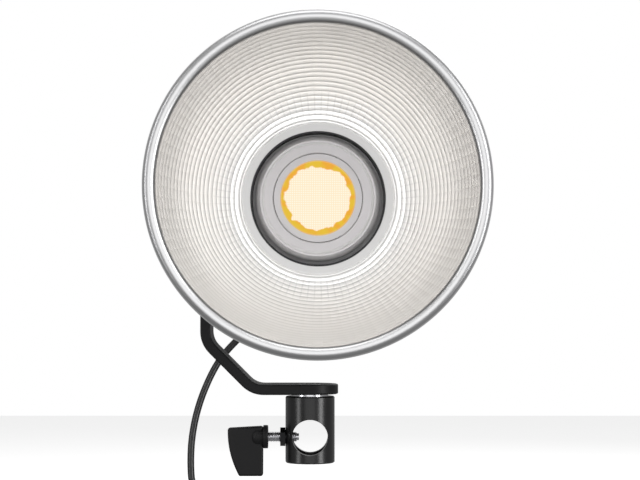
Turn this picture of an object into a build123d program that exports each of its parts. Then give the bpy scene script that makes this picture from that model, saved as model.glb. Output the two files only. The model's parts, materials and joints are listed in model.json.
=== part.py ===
"""LED monolight with a ringed bowl reflector, a one-sided tilt bracket and a stud socket.

Millimetres, +Z up, the lamp shines along -Y. The origin is the centre of the
stand socket's bottom mouth. Each sub-part is written to parts/NODE.step.
"""
from build123d import *
from math import cos, pi, radians, sin, sqrt, tan
import os

# ---- clearances -------------------------------------------------------------
GAP = 0.3          # between pieces of different bodies that don't bear on each other
RUN = 0.05         # radial running clearance of a shaft in its hole
SEAT = 0.1         # between pieces of one body that are screwed or clipped together
THREAD_FIT = 0.05  # radial, fixed screws in their threads

# ---- small screws -------------------------------------------------------------
M3_R = 1.5
M25_R = 1.2
PIN_R = 1.0

# ---- stand socket and its clamp ---------------------------------------------
SOCKET_OD = 24.5
SOCKET_H = 33.0
SOCKET_BORE = 16.5
SOCKET_WEB = 4.0
CROSS_D = 17.6
CROSS_Z = 13.0
CLAMP_Z = 12.75
CLAMP_THREAD_D = 5.0
NUT_AF = 8.0
NUT_T = 2.5
NUT_BARREL_D = 7.0
NUT_BARREL_L = 2.9
CLAMP_TIP_X = -5.55
CLAMP_TIP_D = 3.4
CLAMP_TIP_T = 1.05
CLAMP_STUB_D = 1.9
CLAMP_STUB_L = 2.0
KNOB_HUB_X = -20.9
KNOB_HUB_D = 11.6
KNOB_HUB_T = 2.45
KNOB_BARREL_D = 9.4
KNOB_BARREL_L = 5.8
BLADE_L = 17.6
BLADE_UP = 5.4
BLADE_DOWN = 19.4
BLADE_T = 6.4
BLADE_FOOT = 11.9
WASHER_D = 18.0
WASHER_T = 1.1
BOLT_D = 6.0
BOLT_HEAD_D = 12.0
BOLT_HEAD_H = 3.2

# ---- bent flat bracket --------------------------------------------------------
BAR_T = 5.0
BAR_W = 28.0
BAR_EDGE = 0.8
BEND_R = 12.5
ARM_GAP = 6.0          # between the head and the bracket's arm
BEND_DIAGONAL = 25.0   # height and width of the 45 degree stretch, on the outer side

# ---- lamp head ----------------------------------------------------------------
LAMP_X = 4.0
LAMP_Z = 129.0
HEAD_R = 47.0
SHELL_T = 2.8
REAR_T = 2.4
FRONT_Y = -34.0        # front of the front housing
SPLIT_Y = 20.0         # where the two housings meet
REAR_Y = 90.0          # back edge of the rear housing
PANEL_T = 2.5
PANEL_SET = 2.0        # how deep the panel sits in the rear housing
VENT_N = 30
VENT_W = 3.2
FRONT_VENTS = (-22.0, 2.0)
REAR_VENTS = (28.0, 62.0)
MOUNT_SCREW_ANGLE = 25.0
POST_INSET = 4.5       # the driver board's posts, in from the rear housing's wall
POST_ANGLE = 45.0
PILLAR_INSET = 5.0     # the panel screws' pillars
PILLAR_ANGLE = 90.0

# ---- LED, nose and reflector --------------------------------------------------
EMITTER_D = 35.7
HOLDER_D = 41.8
NOSE_BORE = 42.3
NOSE_FACE_D = 52.0
NOSE_D = 59.6
NOSE_Y = -50.0
NOSE_SLOPE = 8.0
NOSE_FOOT = 5.5
COB_SIDE = 38.0
COB_T = 1.5
BOWL_WALL = 1.1
THROAT_LIP = 0.9       # how far the bowl's floor reaches past the collar's bore
BOWL_Y = -44.0
BOWL_RIM_Y = -150.0
BOWL_RIM_D = 147.5
BEAD_D = 5.8
COLLAR_ID = 62.8
COLLAR_OD = 69.0
COLLAR_BACK = 8.0
FLANGE_T = 1.6         # the collar's flange behind the bowl's floor
LUG_N = 3
LUG_R = 38.0
LUG_T = 2.2
LUG_ARC = 30.0
LUG_TO_SLOT = 36.0     # how far a lug turns from locked to its entry slot
NIB_W = 3.4
NIB_R = 35.8
TWIST = 25.0           # how far the reflector turns before the catch's nib stops it
MOUNT_STEP = 1.2       # how much smaller than the head the mount ring is
LOCK_W = 12.0

# ---- tilt joint -----------------------------------------------------------------
BOSS_R = 14.0
FRICTION_T = 1.3
TILT_STUD_D = 8.0
TILT_WASHER_T = 1.5
TILT_WASHER_R = 9.0
TILT_KNOB_R = 15.0
TILT_KNOB_L = 16.0
TILT_KNOB_LOBES = 7
TILT_BLOCK_W = 24.0
TILT_BLOCK_X = -34.5

# ---- heat sink and fan -----------------------------------------------------------
SINK_BASE_Y = -32.0
SINK_BASE_T = 5.0
FIN_T = 1.4
FIN_PITCH = 4.6
FIN_END_Y = 7.0
FAN_SIDE = 60.0
FAN_T = 15.0
FAN_EDGE = 5.0         # from the fan's side to the centre line of its screws
FAN_BLADES = 7
FAN_HUB_R = 15.0

# ---- electronics and controls ----------------------------------------------------
DRIVER_Y = 34.0
BOARD_T = 1.6
CONTROL_Y = 74.0
DIAL_D = 25.0
DIAL_H = 13.0
DIAL_FLUTES = 24
DIAL_X = 14.0
DIAL_Z = -16.0
SHAFT_D = 6.0
WINDOW_W = 34.0
WINDOW_H = 15.0
WINDOW_DZ = 20.0
BUTTON_D = 8.0
BUTTON_TRAVEL = 0.8
BUTTON_DX = (-12.0, 12.0)
BUTTON_DZ = 2.5
ROCKER_DX = -24.0
ROCKER_DZ = -10.0
ROCKER_W = 8.0
ROCKER_H = 14.0
ROCKER_SWING = 7.0
INLET_DX = -10.0
INLET_DZ = -26.0
INLET_D = 13.0
INLET_BORE = 8.6

# ---- power lead ---------------------------------------------------------------------
CORD_D = 4.0
PLUG_D = 15.0
RELIEF_L = 20.0
RELIEF_D = 9.0
COIL_MID_D = 46.0
COIL_PACK = 12.6       # thickness of the tied bundle of turns
CORD_INTO_COIL = 1.0   # how far the lead's last bit runs in among the turns
CORD_ROUTE = [
    (-6.0, 128.0, 103.0),
    (-6.0, 143.0, 103.0),
    (-9.5, 154.0, 93.0),
    (-18.0, 159.0, 81.0),
    (-30.0, 158.0, 70.0),
    (-42.5, 155.0, 59.0),
    (-53.5, 152.5, 47.0),
    (-61.0, 150.0, 32.5),
    (-66.5, 148.0, 17.0),
    (-69.5, 146.5, 1.0),
    (-70.0, 145.5, -14.0),
    (-69.0, 145.0, -27.0),
]
COIL_X = -69.0
COIL_Y = 145.0
TAIL_ROUTE = [
    (-69.0, 145.0, -84.0),
    (-69.0, 144.5, -97.0),
    (-67.0, 144.0, -110.0),
]
TAIL_RELIEF_L = 14.0
FAR_PLUG_L = 27.0
FAR_PLUG_D = 10.5
TIE_W = 9.0
TIE_T = 1.2

# ---- worked out from the above ---------------------------------------------------
ARM_IN_X = LAMP_X - HEAD_R - ARM_GAP
ARM_OUT_X = ARM_IN_X - BAR_T
MOUNT_R = HEAD_R - MOUNT_STEP
FAN_HOLE = FAN_SIDE - 2 * FAN_EDGE
BAR_Z = SOCKET_H + WASHER_T
BAR_TOP = BAR_Z + BAR_T
BOWL_RIM_R = BOWL_RIM_D / 2
BEAD_R = BEAD_D / 2
HEAD_IN_R = HEAD_R - SHELL_T
REAR_IN_R = HEAD_R - REAR_T
PANEL_Y = REAR_Y - PANEL_SET - PANEL_T
COB_Y = NOSE_Y + 2.0
TILT_BOSS_X = ARM_IN_X + GAP + FRICTION_T
COIL_R = COIL_MID_D / 2
COIL_Z = CORD_ROUTE[-1][2] + CORD_INTO_COIL - COIL_R - COIL_PACK / 2


# ---- shapes in the shared frame --------------------------------------------------
def along_x(radius, x0, x1, y=0.0, z=LAMP_Z):
    """A round bar along X."""
    bar = Rot(0, 90, 0) * Cylinder(radius, abs(x1 - x0))
    return Pos((x0 + x1) / 2, y, z) * bar


def along_y(radius, y0, y1, x=LAMP_X, z=LAMP_Z):
    """A round bar along Y, on the lamp axis unless told otherwise."""
    bar = Rot(90, 0, 0) * Cylinder(radius, abs(y1 - y0))
    return Pos(x, (y0 + y1) / 2, z) * bar


def along_z(radius, z0, z1, x=0.0, y=0.0):
    """A round bar along Z, on the socket axis unless told otherwise."""
    return Pos(x, y, (z0 + z1) / 2) * Cylinder(radius, abs(z1 - z0))


def block(x0, x1, y0, y1, z0, z1):
    """A box between two corners."""
    middle = Pos((x0 + x1) / 2, (y0 + y1) / 2, (z0 + z1) / 2)
    return middle * Box(abs(x1 - x0), abs(y1 - y0), abs(z1 - z0))


def turned(edges):
    """A body turned about the lamp axis, from edges given as (radius, y)."""
    profile = make_face(edges)
    return Pos(LAMP_X, 0, LAMP_Z) * revolve(profile, Axis.Y)


def turned_outline(points):
    """The same, from the corners of a straight-sided outline."""
    return turned(Polyline(*points, close=True))


def around(shape, angle):
    """A shape turned about the lamp axis, by degrees."""
    return Pos(LAMP_X, 0, LAMP_Z) * (Rot(0, angle, 0) * (Pos(-LAMP_X, 0, -LAMP_Z) * shape))


def spaced(count, start=0.0):
    """Evenly spaced angles over a full turn."""
    return [start + 360.0 * i / count for i in range(count)]


def polar(radius, angle):
    """Where a point at this radius and angle about the lamp axis lies, as (x, z)."""
    return LAMP_X + radius * cos(radians(angle)), LAMP_Z + radius * sin(radians(angle))


def screw(radius, head_r, head_t, y_head, y_end, x, z):
    """A pan-head screw along Y with a cross recess, its head's top at y_head."""
    way = 1 if y_end > y_head else -1
    head = along_y(head_r, y_head, y_head + way * head_t, x, z)
    shank = along_y(radius, y_head, y_end, x, z)
    slot_w = head_r * 0.28
    slot_l = head_r * 0.62
    deep = head_t * 0.55
    y0, y1 = sorted((y_head, y_head + way * deep))
    recess = block(x - slot_l, x + slot_l, y0, y1, z - slot_w, z + slot_w)
    recess += block(x - slot_w, x + slot_w, y0, y1, z - slot_l, z + slot_l)
    return head + shank - recess


# ---- stand socket -------------------------------------------------------------------
def socket():
    tube = along_z(SOCKET_OD / 2, 0, SOCKET_H)
    tube = chamfer(tube.edges().filter_by(GeomType.CIRCLE), 0.5)
    tube -= along_z(SOCKET_BORE / 2, -1, SOCKET_H - SOCKET_WEB)
    tube -= along_y(CROSS_D / 2, -SOCKET_OD, SOCKET_OD, 0, CROSS_Z)
    tube -= along_x(NUT_BARREL_D / 2 + THREAD_FIT, -SOCKET_OD, 0, 0, CLAMP_Z)
    tube -= along_z(BOLT_D / 2 + THREAD_FIT, 0, SOCKET_H + 1)
    return tube


def socket_washer():
    ring = along_z(WASHER_D / 2, SOCKET_H, BAR_Z)
    return ring - along_z(BOLT_D / 2 + SEAT, SOCKET_H - 1, BAR_Z + 1)


def socket_bolt():
    shank = along_z(BOLT_D / 2, SOCKET_H - SOCKET_WEB + SEAT, BAR_TOP - SEAT)
    cone = Pos(0, 0, BAR_TOP - SEAT - BOLT_HEAD_H / 2) * Cone(
        BOLT_D / 2, BOLT_HEAD_D / 2, BOLT_HEAD_H
    )
    key = Pos(0, 0, BAR_TOP - 1.0) * extrude(RegularPolygon(2.0, 6), 2.5, both=True)
    return shank + cone - key


def clamp_nut():
    wall_x = -SOCKET_OD / 2 - SEAT
    hexagon = extrude(RegularPolygon(NUT_AF / 2, 6, major_radius=False), NUT_T)
    flange = Pos(wall_x, 0, CLAMP_Z) * (Rot(0, -90, 0) * hexagon)
    barrel = along_x(NUT_BARREL_D / 2, wall_x, wall_x + NUT_BARREL_L, 0, CLAMP_Z)
    bore = along_x(CLAMP_THREAD_D / 2 + RUN, wall_x - 2 * NUT_T, 0, 0, CLAMP_Z)
    return flange + barrel - bore


def clamp_tip():
    back = CLAMP_TIP_X - CLAMP_TIP_T
    disc = along_x(CLAMP_TIP_D / 2, back, CLAMP_TIP_X, 0, CLAMP_Z)
    return disc + along_x(CLAMP_STUB_D / 2, back - CLAMP_STUB_L, back, 0, CLAMP_Z)


def clamp_screw():
    end = CLAMP_TIP_X - CLAMP_TIP_T - RUN
    bar = along_x(CLAMP_THREAD_D / 2, KNOB_HUB_X - KNOB_HUB_T, end, 0, CLAMP_Z)
    pocket = along_x(CLAMP_STUB_D / 2 + RUN, end - CLAMP_STUB_L - 0.5, end, 0, CLAMP_Z)
    return bar - pocket


def clamp_knob():
    back = KNOB_HUB_X - KNOB_HUB_T
    hub = along_x(KNOB_HUB_D / 2, back, KNOB_HUB_X, 0, CLAMP_Z)
    hub = fillet(hub.edges().filter_by(GeomType.CIRCLE), 0.5)
    barrel = along_x(KNOB_BARREL_D / 2, back - KNOB_BARREL_L, back, 0, CLAMP_Z)
    end_edge = barrel.edges().filter_by(GeomType.CIRCLE).sort_by(Axis.X)[0]
    barrel = fillet(end_edge, KNOB_BARREL_D * 0.3)
    top = CLAMP_Z + BLADE_UP
    foot = CLAMP_Z - BLADE_DOWN
    outer = back - BLADE_L
    with_curve = Spline((outer, top - 1), (outer + 0.6, 8.0), (back - BLADE_FOOT, foot))
    rest = Polyline((back - BLADE_FOOT, foot), (back, foot), (back, top), (outer, top - 1))
    side = make_face(with_curve + rest)
    blade = Rot(90, 0, 0) * extrude(side, BLADE_T / 2, both=True)
    blade = fillet(blade.edges(), 1.2)
    socket_hole = along_x(CLAMP_THREAD_D / 2, back, KNOB_HUB_X + 1, 0, CLAMP_Z)
    return hub + barrel + blade - socket_hole


# ---- bracket --------------------------------------------------------------------------
def bracket():
    half = BAR_T / 2
    shift = half * (sqrt(2) - 1)
    centre_x = ARM_OUT_X + half
    centre_z = BAR_Z + half
    knee = (centre_x, BAR_Z + BEND_DIAGONAL + shift)
    ankle = (ARM_OUT_X + BEND_DIAGONAL + shift, centre_z)
    route = FilletPolyline(
        (centre_x, 0, LAMP_Z),
        (knee[0], 0, knee[1]),
        (ankle[0], 0, ankle[1]),
        (0, 0, centre_z),
        radius=BEND_R,
    )
    start = Plane((centre_x, 0, LAMP_Z), x_dir=(1, 0, 0), z_dir=(0, 0, -1))
    bar = sweep(start * RectangleRounded(BAR_T, BAR_W, BAR_EDGE), path=route)
    eye = along_x(BAR_W / 2, ARM_OUT_X, ARM_IN_X)
    eye = fillet(eye.edges().filter_by(GeomType.CIRCLE), BAR_EDGE)
    foot = along_z(BAR_W / 2, BAR_Z, BAR_TOP)
    foot = fillet(foot.edges().filter_by(GeomType.CIRCLE), BAR_EDGE)
    bar = bar + eye + foot
    bar -= along_x(TILT_STUD_D / 2 + RUN, ARM_OUT_X - 1, ARM_IN_X + 1)
    bar -= along_z(BOLT_D / 2 + SEAT, BAR_Z - 1, BAR_TOP + 1)
    sink_h = BOLT_HEAD_H + SEAT
    bar -= Pos(0, 0, BAR_TOP - sink_h / 2) * Cone(
        BOLT_D / 2 + SEAT, BOLT_HEAD_D / 2 + 2 * SEAT, sink_h
    )
    return bar


# ---- tilt joint ---------------------------------------------------------------------
def tilt_boss():
    puck = along_x(BOSS_R, TILT_BOSS_X, LAMP_X - HEAD_R / 2)
    puck -= along_y(HEAD_R, FRONT_Y, SPLIT_Y)
    return puck - along_x(TILT_STUD_D / 2 + RUN, ARM_IN_X, LAMP_X)


def tilt_friction_washer():
    disc = along_x(BOSS_R - 1, TILT_BOSS_X - FRICTION_T, TILT_BOSS_X)
    return disc - along_x(TILT_STUD_D / 2 + RUN, ARM_IN_X - 1, LAMP_X)


def tilt_block():
    half = TILT_BLOCK_W / 2
    slab = block(LAMP_X - HEAD_R, TILT_BLOCK_X, -half, half, LAMP_Z - half, LAMP_Z + half)
    slab &= along_y(HEAD_IN_R, -half, half)
    return slab - along_x(TILT_STUD_D / 2 + RUN, ARM_IN_X, LAMP_X)


def tilt_stud():
    return along_x(TILT_STUD_D / 2, tilt_knob_face() - 6, TILT_BLOCK_X - 1)


def tilt_washer_face():
    return ARM_OUT_X - GAP


def tilt_knob_face():
    return tilt_washer_face() - TILT_WASHER_T - SEAT


def tilt_washer():
    ring = along_x(TILT_WASHER_R, tilt_washer_face() - TILT_WASHER_T, tilt_washer_face())
    return ring - along_x(TILT_STUD_D / 2 + RUN, ARM_OUT_X - 10, ARM_OUT_X)


def tilt_knob():
    face = tilt_knob_face()
    collar = along_x(TILT_WASHER_R, face - 4, face)
    head = along_x(TILT_KNOB_R, face - TILT_KNOB_L, face - 3)
    head = fillet(head.edges().filter_by(GeomType.CIRCLE), 1.5)
    groove_r = TILT_KNOB_R * 0.32
    for angle in spaced(TILT_KNOB_LOBES):
        away = TILT_KNOB_R + groove_r * 0.45
        y = away * cos(radians(angle))
        z = LAMP_Z + away * sin(radians(angle))
        head -= along_x(groove_r, face - TILT_KNOB_L - 1, face, y, z)
    bore = along_x(TILT_STUD_D / 2, face - 6, face + 1)
    return collar + head - bore


# ---- reflector ---------------------------------------------------------------------
def bowl_curve(outwards):
    """The bowl's meridian from throat to rim, pushed outwards, as a smooth curve."""
    knots = [
        (COLLAR_ID / 2 + 4.6, BOWL_Y),
        (42.2, -51.0),
        (48.9, -65.0),
        (55.3, -86.0),
        (61.9, -114.0),
        (BOWL_RIM_R - BEAD_D + 0.2, BOWL_RIM_Y + BEAD_R),
    ]
    return Spline(*[(r + outwards, y) for r, y in knots])


def reflector_bowl():
    inner = bowl_curve(0)
    outer = bowl_curve(BOWL_WALL)
    throat_r = COLLAR_ID / 2 + THROAT_LIP
    back = BOWL_Y + BOWL_WALL
    floor = Polyline(
        outer @ 0, (outer @ 0).add(Vector(0, BOWL_WALL)), (throat_r, back), (throat_r, BOWL_Y), inner @ 0
    )
    lip = Line(inner @ 1, outer @ 1)
    bowl = turned([inner, floor, outer, lip])
    bead_circle = Pos(BOWL_RIM_R - BEAD_R, BOWL_RIM_Y + BEAD_R) * Circle(BEAD_R)
    bead = Pos(LAMP_X, 0, LAMP_Z) * revolve(bead_circle, Axis.Y)
    return bowl + bead


def collar_back():
    return BOWL_Y + BOWL_WALL + COLLAR_BACK


def reflector_collar():
    inner = COLLAR_ID / 2
    outer = COLLAR_OD / 2
    front = BOWL_Y - 0.8
    seat = BOWL_Y + BOWL_WALL
    ring = turned_outline(
        [
            (inner, front),
            (inner + 0.8, front),
            (inner + 0.8, seat),
            (LUG_R, seat),
            (LUG_R, seat + FLANGE_T),
            (outer, seat + FLANGE_T),
            (outer, collar_back()),
            (inner, collar_back()),
        ]
    )
    for angle in lug_angles():
        ring += arc_block(outer - 0.5, LUG_R, collar_back() - LUG_T, collar_back(), angle, LUG_ARC)
    return ring


def lug_angles():
    """Where the collar's lugs stand when the reflector is locked on."""
    nib_half = 0.5 * NIB_W / NIB_R * 180 / pi
    return spaced(LUG_N, 90 - nib_half - 0.5 - TWIST - LUG_ARC / 2)


def arc_block(r_in, r_out, y0, y1, angle, width):
    """A piece of a ring about the lamp axis, centred on an angle, width degrees wide."""
    ring = along_y(r_out, y0, y1) - along_y(r_in, min(y0, y1) - 1, max(y0, y1) + 1)
    reach = 3 * r_out
    half = radians(width / 2)
    wedge = make_face(
        Polyline(
            (0, 0),
            (reach * cos(half), reach * sin(half)),
            (reach * cos(half), -reach * sin(half)),
            close=True,
        )
    )
    cutter = Rot(90, 0, 0) * extrude(wedge, 2 * abs(y1 - y0) + 10, both=True)
    cutter = Pos(LAMP_X, (y0 + y1) / 2, LAMP_Z) * (Rot(0, -angle, 0) * cutter)
    return ring & cutter


# ---- head front ----------------------------------------------------------------------
def mount_back():
    return FRONT_Y


def mount_front():
    return BOWL_Y + BOWL_WALL + FLANGE_T + GAP


def mount_ring():
    """The bayonet ring: entry slots at the front, an undercut groove behind them."""
    clear = COLLAR_OD / 2 + GAP
    ring = along_y(MOUNT_R, mount_front(), mount_back())
    front_edge = ring.edges().filter_by(GeomType.CIRCLE).sort_by(Axis.Y)[0]
    ring = chamfer(front_edge, 1.0)
    ring -= along_y(clear, mount_front() - 1, mount_back() + 1)
    groove_front = collar_back() - LUG_T - GAP
    ring -= along_y(LUG_R + GAP, groove_front, mount_back() + 1)
    for angle in lug_angles():
        ring -= arc_block(
            clear - 1, LUG_R + GAP, mount_front() - 1, groove_front + 1, angle + LUG_TO_SLOT, LUG_ARC + 4
        )
    ring -= lock_pocket(SEAT / 2 + RUN)
    for x, z in mount_screw_places():
        ring -= along_y(M3_R + THREAD_FIT, mount_front() - 1, mount_back() + 1, x, z)
        ring -= along_y(2.9, mount_front() - 1, mount_front() + 1.7, x, z)
    return ring


def mount_screw_places():
    return [polar((LUG_R + MOUNT_R) / 2 + 0.2, a) for a in spaced(4, MOUNT_SCREW_ANGLE)]


def mount_screws():
    tops = mount_front() + 0.2
    return [
        screw(M3_R, 2.6, 1.4, tops, SINK_BASE_Y + SINK_BASE_T - 1, x, z)
        for x, z in mount_screw_places()
    ]


def lock_pocket(room):
    """Where the reflector's lock slides, at the top of the mount ring."""
    x0 = LAMP_X - LOCK_W / 2 - room
    x1 = LAMP_X + LOCK_W / 2 + room
    top = LAMP_Z + HEAD_R + 6
    slot = block(x0, x1, mount_front() + 1.4 - room, mount_back() + 0.1, LAMP_Z + 40 - room, top)
    nib = NIB_W / 2 + room
    return slot + block(
        LAMP_X - nib, LAMP_X + nib, nib_front() - room, mount_back() + 0.1, LAMP_Z + NIB_R, LAMP_Z + 41
    )


def nib_front():
    return collar_back() - LUG_T - SEAT


def lock_button():
    """A sliding catch: its nib stops a lug short of the entry slot until it is lifted."""
    x0 = LAMP_X - LOCK_W / 2
    x1 = LAMP_X + LOCK_W / 2
    y0 = mount_front() + 1.4
    y1 = mount_back() - SEAT
    foot = block(x0, x1, y0, y1, LAMP_Z + 40.2, LAMP_Z + MOUNT_R + 1.2)
    cap = block(x0 - 3, x1 + 3, y0 - 3.5, y1, LAMP_Z + MOUNT_R + 1.2, LAMP_Z + MOUNT_R + 4.4)
    cap = fillet(cap.edges(), 0.8)
    nib = block(
        LAMP_X - NIB_W / 2, LAMP_X + NIB_W / 2, nib_front(), y1, LAMP_Z + NIB_R, LAMP_Z + 41
    )
    for i in range(-3, 4):
        cap -= block(
            LAMP_X + i * 2.2 - 0.4,
            LAMP_X + i * 2.2 + 0.4,
            y0 - 3,
            y1 - 0.6,
            LAMP_Z + MOUNT_R + 3.9,
            LAMP_Z + MOUNT_R + 6,
        )
    return foot + cap + nib


def nose_ring():
    """The light collar round the LED: flat front, sloping skirt and a foot."""
    face = NOSE_FACE_D / 2
    skirt = NOSE_D / 2
    cavity = COB_SIDE / sqrt(2) + 0.6
    base = SINK_BASE_Y
    return turned_outline(
        [
            (NOSE_BORE / 2, NOSE_Y + 0.4),
            (NOSE_BORE / 2 + 0.4, NOSE_Y),
            (face - 0.7, NOSE_Y),
            (face, NOSE_Y + 0.7),
            (skirt, NOSE_Y + NOSE_SLOPE),
            (skirt, base - 2.5),
            (skirt + NOSE_FOOT, base - 2.5),
            (skirt + NOSE_FOOT, base),
            (cavity, base),
            (cavity, COB_Y),
            (NOSE_BORE / 2, COB_Y),
        ]
    )


def cob_holder():
    ring = along_y(HOLDER_D / 2, NOSE_Y + 0.3, COB_Y)
    return ring - along_y(EMITTER_D / 2 + SEAT, NOSE_Y - 1, COB_Y + 1)


def cob_emitter():
    return along_y(EMITTER_D / 2, NOSE_Y + 0.5, COB_Y)


def cob_board():
    half = COB_SIDE / 2
    return block(
        LAMP_X - half, LAMP_X + half, COB_Y, COB_Y + COB_T, LAMP_Z - half, LAMP_Z + half
    )


# ---- heat sink and fan -----------------------------------------------------------------
def heat_sink():
    base_back = SINK_BASE_Y + SINK_BASE_T
    limit = HEAD_IN_R - 0.6
    sink = along_y(COB_SIDE / sqrt(2) - 0.4, COB_Y + COB_T, SINK_BASE_Y)
    sink += along_y(limit, SINK_BASE_Y, base_back)
    count = int((limit - FIN_T) / FIN_PITCH)
    for i in range(-count, count + 1):
        x = LAMP_X + i * FIN_PITCH
        reach = sqrt(limit**2 - (abs(i) * FIN_PITCH + FIN_T) ** 2)
        sink += block(
            x - FIN_T / 2, x + FIN_T / 2, base_back - 1, FIN_END_Y, LAMP_Z - reach, LAMP_Z + reach
        )
    half = TILT_BLOCK_W / 2 + 1
    sink -= block(
        LAMP_X - HEAD_R, TILT_BLOCK_X + 1.6, -half, FIN_END_Y + 1, LAMP_Z - half, LAMP_Z + half
    )
    for x, z in mount_screw_places():
        sink -= along_y(M3_R + THREAD_FIT, SINK_BASE_Y - 1, base_back + 1, x, z)
    for x, z in fan_hole_places():
        sink -= along_y(M3_R + THREAD_FIT, FIN_END_Y - 9, FIN_END_Y + 1, x, z)
    return sink


def fan_hole_places():
    half = FAN_HOLE / 2
    return [(LAMP_X + i * half, LAMP_Z + j * half) for i in (-1, 1) for j in (-1, 1)]


def fan_front():
    return FIN_END_Y + SEAT


def fan_frame():
    half = FAN_SIDE / 2
    front = fan_front()
    back = front + FAN_T
    frame = block(LAMP_X - half, LAMP_X + half, front, back, LAMP_Z - half, LAMP_Z + half)
    frame = fillet(frame.edges().filter_by(Axis.Y), 3)
    duct = along_y(half - 1.4, front - 1, back - 2.2) + along_y(half - 1.4, back - 3, back + 1)
    frame -= duct
    spokes = along_y(FAN_HUB_R + 0.5, back - 2, back)
    for angle in spaced(4, 20):
        arm = block(LAMP_X, LAMP_X + half - 0.8, back - 2, back, LAMP_Z - 1.2, LAMP_Z + 1.2)
        spokes += around(arm, angle)
    post = along_y(4.5, back - 9, back - 1)
    frame += spokes + post
    frame -= along_y(M3_R + RUN, front, back - 3)
    for x, z in fan_hole_places():
        frame -= along_y(M3_R + SEAT, front - 1, back + 1, x, z)
    return frame


def fan_rotor():
    front = fan_front()
    cup = along_y(FAN_HUB_R, front + 0.8, front + FAN_T - 2.6)
    cup -= along_y(FAN_HUB_R - 1.4, front + 2.2, front + FAN_T)
    cup += along_y(1.5, front + 1, front + FAN_T - 4)
    tip = FAN_SIDE / 2 - 2.2
    for angle in spaced(FAN_BLADES):
        vane = block(-1.6, 1.6, -5.0, 5.0, FAN_HUB_R - 0.8, tip)
        vane = Rot(0, 0, 38) * (vane & block(-0.55, 0.55, -5, 5, 0, tip))
        vane = Pos(LAMP_X, front + 6.4, LAMP_Z) * (Rot(0, angle, 0) * vane)
        cup += vane
    return cup


def fan_screws():
    back = fan_front() + FAN_T
    return [screw(M3_R, 2.7, 1.6, back + 1.6, FIN_END_Y - 8, x, z) for x, z in fan_hole_places()]


# ---- housings --------------------------------------------------------------------------
def vent_slots(y0, y1, radius, skip):
    """Long narrow slots round a housing, left out where skip(angle) says so."""
    slots = []
    for angle in spaced(VENT_N, 6):
        if skip(angle):
            continue
        slot = block(
            LAMP_X + radius - 8, LAMP_X + radius + 4, y0, y1, LAMP_Z - VENT_W / 2, LAMP_Z + VENT_W / 2
        )
        slots.append(around(fillet(slot.edges().filter_by(Axis.X), VENT_W * 0.45), -angle))
    return slots


def at_tilt_boss(angle):
    return abs((angle % 360) - 180) < 27


def at_labels(angle):
    turn = angle % 360
    return abs(turn - 180) < 20 or turn < 20 or turn > 340


def front_housing():
    shell = along_y(HEAD_R, FRONT_Y, SPLIT_Y)
    front_edge = shell.edges().filter_by(GeomType.CIRCLE).sort_by(Axis.Y)[0]
    shell = chamfer(front_edge, 1.2)
    shell -= along_y(HEAD_IN_R, FRONT_Y - 1, SPLIT_Y + 1)
    shell += turned_outline(
        [
            (HEAD_IN_R - 0.4, SINK_BASE_Y - SEAT),
            (HEAD_IN_R + 1, SINK_BASE_Y - SEAT),
            (HEAD_IN_R + 1, FRONT_Y + 0.2),
            (HEAD_IN_R - 5, FRONT_Y + 0.2),
            (HEAD_IN_R - 5, SINK_BASE_Y - SEAT),
        ]
    )
    for x, z in mount_screw_places():
        shell -= along_y(M3_R + SEAT, FRONT_Y - 1, SINK_BASE_Y + 1, x, z)
    for slot in vent_slots(*FRONT_VENTS, HEAD_R, at_tilt_boss):
        shell -= slot
    shell -= along_x(TILT_STUD_D / 2 + RUN, ARM_IN_X, LAMP_X - 20)
    return shell


def rear_housing():
    shell = along_y(HEAD_R, SPLIT_Y + SEAT, REAR_Y)
    back_edge = shell.edges().filter_by(GeomType.CIRCLE).sort_by(Axis.Y)[-1]
    shell = fillet(back_edge, 2.0)
    shell -= along_y(REAR_IN_R, SPLIT_Y - 1, PANEL_Y + PANEL_T + 3)
    shell += along_y(REAR_IN_R + 0.5, PANEL_Y - 4, PANEL_Y - SEAT) - along_y(
        REAR_IN_R - 2.5, PANEL_Y - 5, PANEL_Y + 1
    )
    shell += driver_posts()
    for slot in vent_slots(*REAR_VENTS, HEAD_R, at_labels):
        shell -= slot
    for angle in spaced(3, PILLAR_ANGLE):
        x, z = polar(REAR_IN_R - PILLAR_INSET, angle)
        pillar = along_y(3.4, PANEL_Y - 14, PANEL_Y - SEAT, x, z)
        pillar += around(
            block(
                LAMP_X + REAR_IN_R - PILLAR_INSET, LAMP_X + REAR_IN_R + 0.5, PANEL_Y - 14, PANEL_Y - SEAT,
                LAMP_Z - 2, LAMP_Z + 2,
            ),
            -angle,
        )
        shell += pillar
        shell -= along_y(M25_R + THREAD_FIT, PANEL_Y - 10, PANEL_Y + 1, x, z)
    return shell


def driver_posts():
    """Four ledges inside the rear housing that the driver board is screwed to."""
    posts = []
    for angle in spaced(4, POST_ANGLE):
        x, z = polar(REAR_IN_R - POST_INSET, angle)
        post = along_y(3.2, DRIVER_Y + BOARD_T, DRIVER_Y + 9, x, z)
        post += around(
            block(
                LAMP_X + REAR_IN_R - POST_INSET, LAMP_X + REAR_IN_R + 0.5,
                DRIVER_Y + BOARD_T, DRIVER_Y + 9, LAMP_Z - 1.6, LAMP_Z + 1.6,
            ),
            -angle,
        )
        post -= along_y(M25_R + THREAD_FIT, DRIVER_Y, DRIVER_Y + 8, x, z)
        posts.append(post)
    return posts


def housing_seam():
    """The dark gasket band pressed between the two housings."""
    outer = HEAD_IN_R - 0.05
    return along_y(outer, SPLIT_Y - 5, SPLIT_Y + 5) - along_y(outer - 1.4, SPLIT_Y - 6, SPLIT_Y + 6)


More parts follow.
